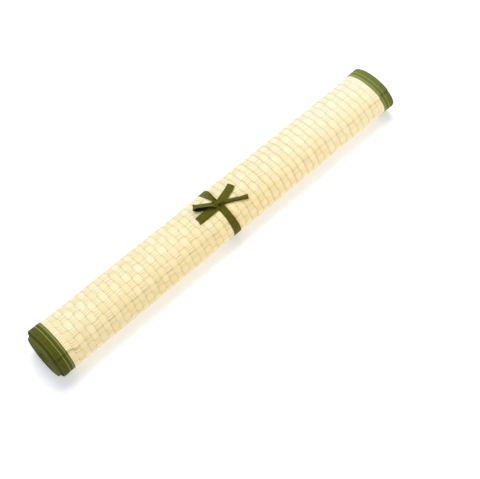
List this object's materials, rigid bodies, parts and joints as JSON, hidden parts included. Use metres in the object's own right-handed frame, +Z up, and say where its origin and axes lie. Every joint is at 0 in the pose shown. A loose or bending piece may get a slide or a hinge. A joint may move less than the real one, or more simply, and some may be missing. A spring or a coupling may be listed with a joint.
{
  "type": "rolled pandanus mat",
  "caption": "Plaited pandanus mat rolled into a long slim roll, its long edges bound in olive cloth tape, tied round the middle with a ribbon bow.",
  "frame": {"origin": "on the ground under the middle of the whole roll", "axes": "+X along the roll from its near end, where the inner turns stand out, to its far end; +Z up; the loose edge of the mat lies on the -Y side"},
  "size_m": [0.7124, 0.0924, 0.0989],
  "materials": {
    "straw": "dry plaited pandanus leaf, pale and matt with a faint sheen",
    "tape": "plain-woven olive cloth tape, matt",
    "ribbon": "flat woven olive ribbon, matt"
  },
  "bodies": {
    "root": {"mat_roll": "straw", "near_binding": "tape", "far_binding": "tape", "ribbon_tie": "ribbon"}
  },
  "joints": []
}
